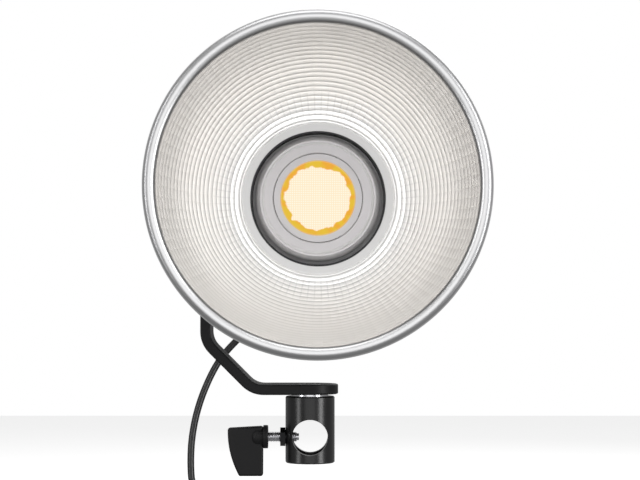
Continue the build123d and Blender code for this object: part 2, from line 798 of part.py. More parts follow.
# ---- electronics ------------------------------------------------------------------------
def driver_board():
    board = along_y(REAR_IN_R - 1.0, DRIVER_Y, DRIVER_Y + BOARD_T)
    for angle in spaced(4, POST_ANGLE):
        x, z = polar(REAR_IN_R - POST_INSET, angle)
        board -= along_y(M25_R + SEAT, DRIVER_Y - 1, DRIVER_Y + 3, x, z)
    return board


def driver_screws():
    places = [polar(REAR_IN_R - POST_INSET, a) for a in spaced(4, POST_ANGLE)]
    return [screw(M25_R, 2.3, 1.2, DRIVER_Y - 1.2, DRIVER_Y + 7, x, z) for x, z in places]


def driver_capacitors():
    y = DRIVER_Y + BOARD_T
    spots = [(-14, 16, 6.3, 18), (2, 18, 6.3, 18), (17, 12, 5.0, 14), (-22, -2, 4.0, 11)]
    cans = []
    for dx, dz, radius, tall in spots:
        can = along_y(radius, y, y + tall, LAMP_X + dx, LAMP_Z + dz)
        cans.append(fillet(can.edges().filter_by(GeomType.CIRCLE), 0.5))
    return cans


def driver_inductors():
    y = DRIVER_Y + BOARD_T
    coils = []
    for dx, dz, side in ((6, -10, 14), (-12, -16, 11), (22, -10, 9)):
        x, z, half = LAMP_X + dx, LAMP_Z + dz, side / 2
        coil = block(x - half, x + half, y, y + side * 0.55, z - half, z + half)
        coils.append(fillet(coil.edges().filter_by(Axis.Y), 1.5))
    return coils


def control_board():
    board = along_y(34, CONTROL_Y, CONTROL_Y + BOARD_T)
    inlet_x, inlet_z = inlet_place()
    board -= along_y(INLET_D / 2 + 1.5, CONTROL_Y - 1, CONTROL_Y + 4, inlet_x, inlet_z)
    rocker_x, rocker_z = rocker_place()
    board -= block(
        rocker_x - 7, rocker_x + 7, CONTROL_Y - 1, CONTROL_Y + 4, rocker_z - 10, rocker_z + 10
    )
    return board


def control_spacers():
    """Spacers that hold the control board off the panel."""
    return [
        along_y(2.2, CONTROL_Y + BOARD_T, PANEL_Y, LAMP_X + dx, LAMP_Z + dz)
        for dx, dz in ((-24, 12), (24, 12), (27, -8))
    ]


# ---- rear controls --------------------------------------------------------------------
def dial_place():
    return LAMP_X + DIAL_X, LAMP_Z + DIAL_Z


def inlet_place():
    return LAMP_X + INLET_DX, LAMP_Z + INLET_DZ


def rocker_place():
    return LAMP_X + ROCKER_DX, LAMP_Z + ROCKER_DZ


def button_places():
    return [(LAMP_X + dx, LAMP_Z + BUTTON_DZ) for dx in BUTTON_DX]


def rear_panel():
    back = PANEL_Y + PANEL_T
    panel = along_y(REAR_IN_R - SEAT, PANEL_Y, back)
    dial_x, dial_z = dial_place()
    panel -= along_y(3.6, PANEL_Y - 1, back + 1, dial_x, dial_z)
    for x, z in button_places():
        panel -= along_y(BUTTON_D / 2 + GAP, PANEL_Y - 1, back + 1, x, z)
    half_w, half_h = WINDOW_W / 2, WINDOW_H / 2
    z = LAMP_Z + WINDOW_DZ
    panel -= block(
        LAMP_X - half_w - SEAT, LAMP_X + half_w + SEAT, back - 1.2, back + 1,
        z - half_h - SEAT, z + half_h + SEAT,
    )
    panel -= block(
        LAMP_X - half_w + 2, LAMP_X + half_w - 2, PANEL_Y - 1, back, z - half_h + 2, z + half_h - 2
    )
    rocker_x, rocker_z = rocker_place()
    half_w, half_h = ROCKER_W / 2 + 1.5 + SEAT, ROCKER_H / 2 + 1.5 + SEAT
    panel -= block(
        rocker_x - half_w, rocker_x + half_w, PANEL_Y - 1, back + 1, rocker_z - half_h, rocker_z + half_h
    )
    inlet_x, inlet_z = inlet_place()
    panel -= along_y(INLET_D / 2 - 2, PANEL_Y - 1, back + 1, inlet_x, inlet_z)
    for x, z in panel_screw_places():
        panel -= along_y(M25_R + SEAT, PANEL_Y - 1, back + 1, x, z)
    return panel


def panel_screw_places():
    return [polar(REAR_IN_R - PILLAR_INSET, a) for a in spaced(3, PILLAR_ANGLE)]


def panel_screws():
    back = PANEL_Y + PANEL_T
    return [
        screw(M25_R, 2.3, 1.2, back + 1.2, PANEL_Y - 8, x, z) for x, z in panel_screw_places()
    ]


def display_window():
    back = PANEL_Y + PANEL_T
    half_w, half_h = WINDOW_W / 2, WINDOW_H / 2
    z = LAMP_Z + WINDOW_DZ
    pane = block(LAMP_X - half_w, LAMP_X + half_w, back - 1.2 + SEAT, back + 0.1, z - half_h, z + half_h)
    return fillet(pane.edges().filter_by(Axis.Y), 1.0)


def display_module():
    z = LAMP_Z + WINDOW_DZ
    return block(LAMP_X - 14, LAMP_X + 14, CONTROL_Y + BOARD_T, PANEL_Y, z - 5, z + 5)


def encoder():
    x, z = dial_place()
    can = block(x - 6, x + 6, CONTROL_Y + BOARD_T, PANEL_Y, z - 6, z + 6)
    can += along_y(3.5, PANEL_Y - 1, PANEL_Y + PANEL_T + 1.0, x, z)
    return can - along_y(SHAFT_D / 2 + RUN, CONTROL_Y + 4, REAR_Y, x, z)


def dial():
    x, z = dial_place()
    face = PANEL_Y + PANEL_T + GAP
    shaft = along_y(SHAFT_D / 2, CONTROL_Y + 4.5, face + 9, x, z)
    cap = along_y(DIAL_D / 2, face, face + DIAL_H, x, z)
    circles = cap.edges().filter_by(GeomType.CIRCLE).sort_by(Axis.Y)
    cap = fillet(circles[-1], 1.6)
    cap -= along_y(4.2, face - 1, face + 1.4, x, z)
    flute_r = DIAL_D / 2 + 0.35
    for angle in spaced(DIAL_FLUTES):
        fx = x + flute_r * cos(radians(angle))
        fz = z + flute_r * sin(radians(angle))
        cap -= along_y(0.9, face + 1.5, face + DIAL_H - 2.4, fx, fz)
    cap -= block(x - 0.5, x + 0.5, face + DIAL_H - 0.5, face + DIAL_H + 1, z + 4.5, z + 10.5)
    return cap + shaft


def button(index):
    x, z = button_places()[index]
    back = PANEL_Y + PANEL_T
    cap = along_y(BUTTON_D / 2, CONTROL_Y + BOARD_T + BUTTON_TRAVEL + 5.4, back + 1.4, x, z)
    top_edge = cap.edges().filter_by(GeomType.CIRCLE).sort_by(Axis.Y)[-1]
    cap = fillet(top_edge, 0.7)
    brim_back = PANEL_Y - GAP
    return cap + along_y(BUTTON_D / 2 + 1.2, brim_back - 1.2, brim_back, x, z)


def button_switches():
    """The tact switches on the control board, one behind each button."""
    found = []
    for x, z in button_places():
        y = CONTROL_Y + BOARD_T
        body = block(x - 3, x + 3, y, y + 3.6, z - 3, z + 3)
        found.append(body + along_y(1.7, y + 3, y + 5.1, x, z))
    return found


def switch_frame():
    """The power switch's housing, snapped into the panel."""
    x, z = rocker_place()
    back = PANEL_Y + PANEL_T
    half_w, half_h = ROCKER_W / 2 + 1.5, ROCKER_H / 2 + 1.5
    body = block(x - half_w, x + half_w, PANEL_Y - 12, back + 1.4, z - half_h, z + half_h)
    brim_w, brim_h = half_w + 1.2, half_h + 1.2
    body += block(x - brim_w, x + brim_w, back + SEAT / 2, back + 1.4, z - brim_h, z + brim_h)
    room_w, room_h = ROCKER_W / 2 + GAP, ROCKER_H / 2 + GAP
    body -= block(x - room_w, x + room_w, back - 7.5, back + 3, z - room_h, z + room_h)
    pin_y = back - 1.5
    return body + along_x(PIN_R, x - ROCKER_W / 2 - 1, x + ROCKER_W / 2 + 1, pin_y, z)


def power_rocker():
    x, z = rocker_place()
    back = PANEL_Y + PANEL_T
    pin_y = back - 1.5
    half = ROCKER_H / 2
    rise = tan(radians(ROCKER_SWING)) * half
    side = make_face(
        Polyline(
            (pin_y - 3.0, -half + 1.2),
            (back + 2.4 - rise, -half + 0.3),
            (back + 1.9, 0),
            (back + 2.4 + rise, half - 0.9),
            (pin_y - 3.0, half - 1.2),
            close=True,
        )
    )
    rocker = Pos(x, 0, z) * extrude(Plane.YZ * side, ROCKER_W / 2, both=True)
    return rocker - along_x(PIN_R + RUN, x - ROCKER_W, x + ROCKER_W, pin_y, z)


def power_inlet():
    """The round locking DC inlet on the rear panel."""
    x, z = inlet_place()
    back = PANEL_Y + PANEL_T
    body = along_y(INLET_D / 2 - 2 - SEAT, PANEL_Y - 16, back + 6, x, z)
    body += along_y(INLET_D / 2 + 1.2, back + SEAT / 2, back + 1.6, x, z)
    body += along_y(INLET_D / 2, PANEL_Y - 3, PANEL_Y - SEAT / 2, x, z)
    body -= along_y(INLET_BORE / 2 - 1, PANEL_Y - 8, back + 8, x, z)
    return body + along_y(PIN_R, PANEL_Y - 9, back + 4, x, z)


# ---- power lead ------------------------------------------------------------------------
def plug_shell():
    """The lead's plug, pushed over the inlet's nose."""
    x, z = inlet_place()
    y0 = PANEL_Y + PANEL_T + 1.6 + SEAT
    y1 = plug_end()
    body = along_y(PLUG_D / 2 - 1.4, y0 + 9, y1, x, z)
    body = fillet(body.edges().filter_by(GeomType.CIRCLE).sort_by(Axis.Y)[-1], 1.2)
    tip_r = INLET_BORE / 2 - 1 - SEAT
    body += along_y(tip_r, PANEL_Y - 6, y0 + 10, x, z) - along_y(PIN_R + SEAT, PANEL_Y - 8, y0 + 3, x, z)
    return body


def plug_end():
    return CORD_ROUTE[0][1] - RELIEF_L


def plug_ring():
    """The plug's knurled locking ring."""
    x, z = inlet_place()
    y0 = PANEL_Y + PANEL_T + 1.6 + SEAT
    ring = along_y(PLUG_D / 2 + 0.6, y0, y0 + 9 - SEAT, x, z)
    ring = fillet(ring.edges().filter_by(GeomType.CIRCLE), 0.6)
    ring -= along_y(INLET_D / 2 - 2 + SEAT, y0 - 1, y0 + 4.7, x, z)
    return ring - along_y(INLET_BORE / 2 - 1 + SEAT, y0, y0 + 11, x, z)


def cord_relief():
    """The tapered strain relief behind the plug."""
    x, z = inlet_place()
    y0 = plug_end()
    y1 = CORD_ROUTE[0][1]
    taper = Pos(x, (y0 + y1) / 2, z) * (
        Rot(-90, 0, 0) * Cone(RELIEF_D / 2, CORD_D / 2 + 0.7, y1 - y0)
    )
    for i in range(4):
        y = y0 + 4 + i * 3.6
        outer = along_y(RELIEF_D, y, y + 1.2, x, z)
        taper -= outer - along_y(CORD_D / 2 + 1.1, y - 1, y + 2, x, z)
    return taper


def corner_radii(points):
    """For each inner point, 0.45 of the shorter run over the tangent of half the turn."""
    radii = []
    for a, b, c in zip(points, points[1:], points[2:]):
        before, after = Vector(*b) - Vector(*a), Vector(*c) - Vector(*b)
        turn = before.get_angle(after)
        short = min(before.length, after.length)
        radii.append(0.45 * short / tan(radians(turn / 2)))
        print(f"run {before.length:.1f} turn {turn:.1f} radius {radii[-1]:.1f}")
    return radii


def tube(points, width):
    """A cord's tube along straight runs joined by tangent arcs."""
    path = FilletPolyline(*points, radius=corner_radii(points))
    start = Plane(path @ 0, z_dir=path % 0)
    solid = sweep(start * Circle(width / 2), path=path)
    expected = pi * width**2 / 4 * path.length
    print(f"tube length {path.length:.1f} volume {solid.volume:.1f} expected {expected:.1f}")
    return solid


def cord_lead():
    return tube(CORD_ROUTE, CORD_D)


def coil_ring():
    """The tied coil's outer shape: a ring that hangs in an upright plane."""
    upright = Rot(90, 0, 0) * Torus(COIL_R, COIL_PACK / 2)
    return Pos(COIL_X, COIL_Y, COIL_Z) * upright


def coil_tie():
    """The strap round the bundle of turns, at one side of the ring."""
    side = COIL_PACK / 2 + TIE_T
    x = COIL_X + COIL_R
    band = block(x - side, x + side, COIL_Y - side, COIL_Y + side, COIL_Z - TIE_W / 2, COIL_Z + TIE_W / 2)
    band = fillet(band.edges().filter_by(Axis.Z), side * 0.7)
    return band - coil_ring()


def cord_tail():
    return tube(TAIL_ROUTE, CORD_D)


def tail_frame():
    """Where the tail ends and which way it points."""
    last, before = Vector(*TAIL_ROUTE[-1]), Vector(*TAIL_ROUTE[-2])
    return last, (last - before).normalized()


def far_relief():
    end, way = tail_frame()
    plane = Plane(end, z_dir=way)
    return plane * (Pos(0, 0, TAIL_RELIEF_L / 2) * Cone(CORD_D / 2 + 0.6, 3.6, TAIL_RELIEF_L))


def far_plug():
    """The barrel connector at the lead's other end."""
    end, way = tail_frame()
    plane = Plane(end + way * TAIL_RELIEF_L, z_dir=way)
    grip = Pos(0, 0, FAR_PLUG_L / 2) * Cylinder(FAR_PLUG_D / 2, FAR_PLUG_L)
    grip = fillet(grip.edges().filter_by(GeomType.CIRCLE), 1.0)
    barrel = Pos(0, 0, FAR_PLUG_L + 4.75) * Cylinder(2.75, 9.5)
    bore = Pos(0, 0, FAR_PLUG_L + 5.5) * Cylinder(1.25, 8.5)
    return plane * (grip + barrel - bore)


# ---- write every node ------------------------------------------------------------------
NODES = {
    "socket": socket,
    "socket_washer": socket_washer,
    "socket_bolt": socket_bolt,
    "clamp_nut": clamp_nut,
    "clamp_tip": clamp_tip,
    "clamp_screw": clamp_screw,
    "clamp_knob": clamp_knob,
    "bracket": bracket,
    "tilt_boss": tilt_boss,
    "tilt_friction_washer": tilt_friction_washer,
    "tilt_block": tilt_block,
    "tilt_stud": tilt_stud,
    "tilt_washer": tilt_washer,
    "tilt_knob": tilt_knob,
    "reflector_bowl": reflector_bowl,
    "reflector_collar": reflector_collar,
    "mount_ring": mount_ring,
    "mount_screws": mount_screws,
    "lock_button": lock_button,
    "nose_ring": nose_ring,
    "cob_holder": cob_holder,
    "cob_emitter": cob_emitter,
    "cob_board": cob_board,
    "heat_sink": heat_sink,
    "fan_frame": fan_frame,
    "fan_rotor": fan_rotor,
    "fan_screws": fan_screws,
    "front_housing": front_housing,
    "rear_housing": rear_housing,
    "housing_seam": housing_seam,
    "driver_board": driver_board,
    "driver_screws": driver_screws,
    "driver_capacitors": driver_capacitors,
    "driver_inductors": driver_inductors,
    "control_board": control_board,
    "control_spacers": control_spacers,
    "rear_panel": rear_panel,
    "panel_screws": panel_screws,
    "display_window": display_window,
    "display_module": display_module,
    "encoder": encoder,
    "dial": dial,
    "button_left": lambda: button(0),
    "button_right": lambda: button(1),
    "button_switches": button_switches,
    "switch_frame": switch_frame,
    "power_rocker": power_rocker,
    "power_inlet": power_inlet,
    "plug_shell": plug_shell,
    "plug_ring": plug_ring,
    "cord_relief": cord_relief,
    "cord_lead": cord_lead,
    "cord_coil": coil_ring,
    "coil_tie": coil_tie,
    "cord_tail": cord_tail,
    "far_relief": far_relief,
    "far_plug": far_plug,
}

os.makedirs("parts", exist_ok=True)
for node, make in NODES.items():
    made = make()
    if isinstance(made, list):
        made = Compound(children=made)
    export_step(made, f"parts/{node}.step")
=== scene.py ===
"""Looks of the LED studio spotlight: ringed reflector, lit emitter, threads, lead and finishes."""

import json
import math

import bmesh
import bpy
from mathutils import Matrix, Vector


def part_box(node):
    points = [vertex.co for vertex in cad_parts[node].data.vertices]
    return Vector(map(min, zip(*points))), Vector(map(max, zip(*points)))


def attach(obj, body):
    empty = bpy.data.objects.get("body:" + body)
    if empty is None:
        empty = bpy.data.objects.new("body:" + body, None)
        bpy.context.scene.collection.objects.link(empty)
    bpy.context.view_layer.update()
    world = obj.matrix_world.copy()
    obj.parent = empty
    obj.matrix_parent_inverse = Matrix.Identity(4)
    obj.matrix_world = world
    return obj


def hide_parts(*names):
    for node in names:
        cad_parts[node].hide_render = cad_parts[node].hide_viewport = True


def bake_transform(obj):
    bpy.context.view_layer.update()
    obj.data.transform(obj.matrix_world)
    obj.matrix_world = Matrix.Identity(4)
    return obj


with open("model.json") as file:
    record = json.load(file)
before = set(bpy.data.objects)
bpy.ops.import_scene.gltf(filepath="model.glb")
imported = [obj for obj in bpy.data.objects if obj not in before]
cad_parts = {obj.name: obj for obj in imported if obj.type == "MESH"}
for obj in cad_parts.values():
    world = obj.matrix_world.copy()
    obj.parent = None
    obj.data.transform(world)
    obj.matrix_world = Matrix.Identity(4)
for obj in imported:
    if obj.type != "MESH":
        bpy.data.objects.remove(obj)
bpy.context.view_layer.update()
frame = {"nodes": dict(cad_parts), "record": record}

MM = 0.001

# ---- light ------------------------------------------------------------
ROOM_GLOW = 0.32             # how bright the room is round the soft boxes
AIM = (0.0, -0.05, 0.10)     # where every soft box points
SOFT_BOXES = [               # name, place, size, watts
    ("left_box", (-1.10, -0.75, 0.30), (0.30, 1.3), 7.0),
    ("right_box", (1.05, -0.80, 0.30), (0.42, 1.3), 14.0),
    ("top_box", (0.0, -0.35, 1.35), (1.2, 0.7), 12.0),
    ("back_box", (0.50, 1.50, 1.10), (1.2, 1.0), 8.0),
    ("front_box", (0.0, -1.60, 0.35), (1.5, 1.5), 8.0),
]
EMITTER_WATTS = 0.007
EMITTER_LIGHT_Y = -0.0515    # just in front of the emitter's face
EMITTER_LIGHT_D = 0.034
THROAT_WATTS = 0.034
THROAT_LIGHT_Y = -0.066
THROAT_LIGHT_R = 0.012
FLOOR_GAP = 0.004            # the lamp is held by its stand, clear of the floor
FLOOR_HALF = 3.0

# ---- camera, first in the making ------------------------------------------------------------
CAMERA_AT = (4.95 * MM, -900 * MM, 79.4 * MM)
CAMERA_LENS = 101.25
CAMERA_PITCH = 2.0

# ---- the power lead: its route from the plug to the tied coil, in metres --------------
CORD_R = 0.0020
LEAD_ROUTE = [
    (-0.0060, 0.1280, 0.1030),
    (-0.0060, 0.1430, 0.1030),
    (-0.0095, 0.1540, 0.0930),
    (-0.0180, 0.1590, 0.0810),
    (-0.0300, 0.1580, 0.0700),
    (-0.0425, 0.1550, 0.0590),
    (-0.0535, 0.1525, 0.0470),
    (-0.0610, 0.1500, 0.0325),
    (-0.0665, 0.1480, 0.0170),
    (-0.0695, 0.1465, 0.0010),
    (-0.0700, 0.1455, -0.0140),
    (-0.0690, 0.1450, -0.0270),
]
TAIL_ROUTE = [
    (-0.0690, 0.1450, -0.0840),
    (-0.0690, 0.1445, -0.0970),
    (-0.0670, 0.1440, -0.1100),
]
COIL_TURNS = 6.5
COIL_TURN_POINTS = 24
COIL_R = 0.0230
COIL_BUNDLE_R = 0.00470      # from the bundle's middle line to each turn's
COIL_LAY_START = 13.0        # degrees, from straight outwards
COIL_ENTRY = 18.0            # degrees of turn that the lead takes to bend in
COIL_STRANDS = 7

# ---- reflector ------------------------------------------------------------
LAMP = Vector((0.0040, 0.0, 0.1290))
FACETS = 90
RING_FIRST_R = 0.0373        # first groove's radius
RING_FIRST_PITCH = 0.00225
RING_NARROWING = 0.0475      # how fast the rings get narrower towards the rim
RING_SPLITS = 4              # mesh rows in a ring
MOST_RINGS = 40
RING_LEAST = 0.0004          # no ring is narrower than this at the rim
FACET_SPLITS = 3             # mesh columns in a facet
RING_CROWN = 0.00030
FACET_CROWN = 0.00005
BOWL_WALL = 0.0011
BOWL_CURVE = [               # the bowl's inside, as (radius, y)
    (0.0360, -0.0440),
    (0.0422, -0.0510),
    (0.0489, -0.0650),
    (0.0553, -0.0860),
    (0.0619, -0.1140),
    (0.06815, -0.1471),
]
THROAT_R = 0.0323
BEAD_R = 0.0029
BEAD_STEPS = 28              # points round the bead's section
BEAD_COLUMNS = 256           # sections round the rim

# ---- emitter ------------------------------------------------------------
EMITTER_DOME = 0.00018       # how far its middle stands out
EMITTER_RINGS = 12
EMITTER_COLUMNS = 96

# ---- clamp screw ------------------------------------------------------------
THREAD_PITCH = 0.0008
THREAD_STEPS = 20            # points round one turn of thread
THREAD_ROWS = 6              # mesh rows along one pitch
THREAD_DEPTH = 0.00042


# ---- shader values as Python expressions --------------------------------------------------
class Field:
    """A value in a material. Sums and products on it add the nodes that work them out."""

    def __init__(self, finish, socket):
        self.finish = finish
        self.socket = socket

    def math(self, operation, *values):
        return self.finish.node("Math", {"operation": operation}, dict(enumerate(values)))

    def __add__(self, other):
        return self.math("ADD", self, other)

    def __mul__(self, other):
        return self.math("MULTIPLY", self, other)

    def __sub__(self, other):
        return self.math("SUBTRACT", self, other)

    def __rsub__(self, other):
        return self.math("SUBTRACT", other, self)

    def __truediv__(self, other):
        return self.math("DIVIDE", self, other)

    __radd__ = __add__
    __rmul__ = __mul__

    def band(self, low, high):
        """0 below low and 1 above high, or the other way round, with a soft step between."""
        settings = {"interpolation_type": "SMOOTHSTEP"}
        sockets = {"Value": self, "From Min": low, "From Max": high}
        return self.finish.node("MapRange", settings, sockets)


class Finish:
    """One material. node() adds any node: its type, its settings first, then its sockets."""

    def __init__(self, name, **constants):
        self.material = bpy.data.materials.new(name)
        self.material.use_nodes = True
        self.tree = self.material.node_tree
        self.shader = self.tree.nodes["Principled BSDF"]
        for socket, value in constants.items():
            self.set(socket.replace("_", " ").title().replace("Ior", "IOR"), value)

    def node(self, kind, settings=None, sockets=None, output=0):
        made = self.tree.nodes.new("ShaderNode" + kind)
        for name, value in (settings or {}).items():
            setattr(made, name, value)
        for name, value in (sockets or {}).items():
            self.feed(made.inputs[name], value)
        return Field(self, made.outputs[output])

    def feed(self, target, value):
        if isinstance(value, Field):
            self.tree.links.new(value.socket, target)
        elif target.type == "RGBA":
            target.default_value = grey(value)
        else:
            target.default_value = value

    def set(self, socket, value):
        self.feed(self.shader.inputs[socket], value)

    def place(self):
        return self.node("TexCoord", output=3)

    def stretched(self, x, y, z):
        sockets = {0: self.place(), 1: (x, y, z)}
        return self.node("VectorMath", {"operation": "MULTIPLY"}, sockets)

    def noise(self, scale, detail=3.0, where=None):
        sockets = {"Vector": where or self.place(), "Scale": scale, "Detail": detail}
        return self.node("TexNoise", None, sockets)

    def grains(self, scale, where=None):
        return self.node("TexVoronoi", None, {"Vector": where or self.place(), "Scale": scale})

    def mix(self, share, low, high):
        """From colour low to colour high as share goes from 0 to 1."""
        return self.node("Mix", {"data_type": "RGBA"}, {0: share, 6: low, 7: high}, output=2)

    def bump(self, height, strength, depth):
        sockets = {"Height": height, "Strength": strength, "Distance": depth}
        self.set("Normal", self.node("Bump", None, sockets))

    def axis_radius(self):
        """Distance from the lamp's axis, and how far right of it and above it."""
        parts = self.node("SeparateXYZ", None, {0: self.place()})
        x = parts - LAMP.x
        z = Field(self, parts.socket.node.outputs[2]) - LAMP.z
        square = x * x + z * z
        return square.math("SQRT", square), x, z


def grey(colour):
    """A colour as four numbers, from one number, three or four."""
    if isinstance(colour, (int, float)):
        colour = (colour, colour, colour)
    return (*colour, 1.0)[:4]


# ---- finishes ------------------------------------------------------------
def black_paint(name, tone, gloss, grain, coat=0.0, shine=0.18):
    """Black paint or plastic with a fine grain and slight unevenness in tone and gloss."""
    made = Finish(name, specular_ior_level=shine, coat_roughness=0.24)
    cloud = made.noise(60.0)
    speck = made.noise(grain, 2.0)
    made.set("Base Color", made.mix(cloud, [c * 0.8 for c in tone], [c * 1.25 for c in tone]))
    made.set("Roughness", gloss + cloud * 0.10 + speck * 0.08 - 0.09)
    if coat:
        made.set("Coat Weight", coat + cloud * 0.1)
    made.bump(speck, 0.25, 0.00006)
    return made.material


def bare_metal(name, tone, gloss, along, wear=0.12):
    """Bright metal with fine lines along one way and a faint haze."""
    made = Finish(name, metallic=1.0)
    lines = made.noise(1.0, 2.0, made.stretched(*along))
    cloud = made.noise(90.0)
    made.set("Base Color", made.mix(lines, [c * (1 - wear) for c in tone], tone))
    made.set("Roughness", gloss + lines * 0.1 + cloud * 0.06 - 0.08)
    made.bump(lines, 0.12, 0.00003)
    return made.material


def ringed_aluminium():
    """The reflector's inside: pressed rings, narrower towards the rim, crossed by facets. Its colour
    holds painted shade in the grooves and creases, and painted shade darkens it towards the rim.
    """
    made = Finish("ringed_aluminium", metallic=0.55, specular_ior_level=0.5)
    radius, x, z = made.axis_radius()
    shrink = RING_NARROWING / RING_FIRST_PITCH
    left = 1 - (radius - RING_FIRST_R) * shrink
    ring = left.math("MAXIMUM", left, 0.02)
    ring = ring.math("LOGARITHM", ring, math.e) * (-1 / RING_NARROWING)
    phase = ring.math("FRACT", ring)
    # painted shade: a dark line along every ring groove, a little darker towards the rim
    groove = (phase.math("PINGPONG", phase, 0.5) * 2).band(0.42, 0.0)
    spoke = z.math("ARCTAN2", z, x) * (FACETS / (2 * math.pi)) + FACETS
    across = spoke.math("FRACT", spoke)
    # painted shade: a darker line along each facet crease, on the inner rings only
    crease = (across.math("PINGPONG", across, 0.5) * 2).band(0.34, 0.0)
    faceted = radius.band(0.0375, 0.0400) * radius.band(0.0500, 0.0460)
    haze = made.noise(55.0)
    fleck = made.noise(900.0, 2.0)
    # painted shade: outwards runs from 0 near the throat to 1 at the rim, and the colour below darkens
    # along it in place of the darker reflection near the rim
    outwards = radius.band(0.044, 0.0690)
    rim_shaded = made.mix(outwards, (0.95, 0.945, 0.935), (0.26, 0.252, 0.242))
    crease_shaded = made.mix(crease * faceted * 0.22, rim_shaded, (0.42, 0.42, 0.43))
    groove_shaded = made.mix(groove * (0.55 + outwards * 0.1), crease_shaded, (0.22, 0.215, 0.21))
    made.set("Base Color", made.mix(haze * 0.08 + fleck * 0.05, groove_shaded, (0.62, 0.60, 0.58)))
    made.set("Roughness", 0.36 + haze * 0.08 + fleck * 0.05)
    made.bump(fleck, 0.05, 0.00002)
    return made.material


def spun_aluminium(name, tone, gloss):
    """Turned or spun metal: fine rings about the lamp's axis."""
    made = Finish(name, metallic=1.0)
    radius = made.axis_radius()[0]
    across = made.node("CombineXYZ", None, {0: radius * 6000.0, 1: 0.3, 2: 0.7})
    lines = made.noise(1.0, 2.0, across)
    cloud = made.noise(70.0)
    made.set("Base Color", made.mix(lines * 0.6 + cloud * 0.3, [c * 0.86 for c in tone], tone))
    made.set("Roughness", gloss + lines * 0.08 + cloud * 0.06 - 0.05)
    made.bump(lines, 0.06, 0.00002)
    return made.material


def rolled_rim():
    """The bead: the metal's own tone on its crown, with painted shade at its inner edge next to the
    bowl and painted shade towards its outer edge.
    """
    made = Finish("rolled_rim", metallic=0.8)
    radius = made.axis_radius()[0]
    # painted shade: a dark band on the bead's inner edge, next to the bowl
    inner_shade = radius.band(0.0697, 0.0684)
    # painted shade: a darker band towards the bead's outer edge
    shade = radius.band(0.0706, 0.0720) * radius.band(0.0735, 0.0728)
    lines = made.noise(1.0, 2.0, made.node("CombineXYZ", None, {0: radius * 5000.0, 1: 0.4, 2: 0.9}))
    cloud = made.noise(70.0)
    bright = made.mix(lines * 0.5 + cloud * 0.3, (0.62, 0.62, 0.625), (0.76, 0.76, 0.765))
    shaded = made.mix(shade * 0.75, bright, (0.24, 0.24, 0.245))
    made.set("Base Color", made.mix(inner_shade * 0.85, shaded, (0.10, 0.10, 0.10)))
    made.set("Roughness", 0.30 + cloud * 0.08 + lines * 0.04)
    made.bump(cloud, 0.04, 0.00002)
    return made.material


def nose_aluminium():
    """The collar round the LED: satin grey, with a painted highlight ring where its face meets the
    sloping skirt, painted light on the skirt and painted shade at the skirt's outer edge.
    """
    made = Finish("nose_aluminium", metallic=0.35, specular_ior_level=0.5)
    radius = made.axis_radius()[0]
    # painted light: the sloping skirt gets a lighter colour than the face
    skirt = radius.band(0.0262, 0.0300)
    # painted highlight: a light ring where the flat face turns down into the skirt
    rim = radius.band(0.0252, 0.0258) * radius.band(0.0268, 0.0262)
    # painted shade: a dark band at the skirt's outer edge
    foot_shade = radius.band(0.0292, 0.0306)
    cloud = made.noise(80.0)
    face = made.mix(cloud, (0.72, 0.70, 0.715), (0.79, 0.77, 0.78))
    skirt_lightened = made.mix(skirt, face, (0.84, 0.83, 0.835))
    shaded = made.mix(foot_shade * 0.3, skirt_lightened, (0.08, 0.08, 0.08))
    made.set("Base Color", made.mix(rim * 0.8, shaded, (0.88, 0.88, 0.88)))
    made.set("Roughness", 0.42 + cloud * 0.12)
    made.bump(made.noise(2500.0, 2.0), 0.06, 0.00002)
    return made.material


def lit_phosphor():
    """The lit emitter: cream with a fine grid of chips, and an uneven amber edge."""
    made = Finish("lit_phosphor", roughness=0.45, specular_ior_level=0.2, emission_strength=1.0)
    radius, x, z = made.axis_radius()
    swirl = made.noise(210.0, 2.0)
    ragged = radius + (swirl - 0.5) * 0.0052
    amber = ragged.band(0.01455, 0.01535)
    rim = radius.band(0.0170, 0.0179)
    deep = made.noise(160.0, 1.0).band(0.42, 0.60)
    columns = (x * 950.0).math("PINGPONG", x * 950.0, 0.5)
    rows = (z * 950.0).math("PINGPONG", z * 950.0, 0.5)
    chips = (columns * rows * 4).band(0.10, 0.55)
    cream = made.mix(chips, (0.97, 0.77, 0.54), (1.0, 0.90, 0.76))
    hue = made.mix(deep, (0.74, 0.48, 0.03), (0.80, 0.37, 0.03))
    lit = made.mix(rim * 0.55, made.mix(amber, cream, hue), (0.70, 0.52, 0.42))
    made.set("Base Color", made.mix(amber, (0.10, 0.08, 0.05), (0.08, 0.05, 0.01)))
    made.set("Emission Color", lit)
    made.bump(chips, 0.2, 0.00005)
    return made.material


def circuit_board():
    made = Finish("circuit_board", specular_ior_level=0.5, coat_roughness=0.15)
    tracks = made.grains(420.0)
    made.set("Base Color", made.mix(tracks.band(0.2, 0.5), (0.02, 0.20, 0.08), (0.01, 0.11, 0.05)))
    made.set("Roughness", 0.35 + tracks * 0.1)
    made.set("Coat Weight", 0.3 + tracks * 0.1)
    return made.material


def plain_matt(name, low, high, gloss, grain):
    """Matt material that wanders between two tones: ceramic, fibre, potted parts."""
    made = Finish(name, specular_ior_level=0.4)
    cloud = made.noise(grain)
    made.set("Base Color", made.mix(cloud, low, high))
    made.set("Roughness", gloss + cloud * 0.12)
    made.bump(cloud, 0.15, 0.00004)
    return made.material


def cable_jacket():
    made = Finish("cable_jacket", specular_ior_level=0.35, coat_roughness=0.12)
    scuff = made.noise(150.0)
    fine = made.noise(1400.0, 2.0)
    made.set("Base Color", made.mix(scuff, (0.005, 0.005, 0.0055), (0.012, 0.0115, 0.012)))
    made.set("Roughness", 0.26 + scuff * 0.16)
    made.set("Coat Weight", 0.15 + scuff * 0.1)
    made.bump(fine, 0.08, 0.00003)
    return made.material


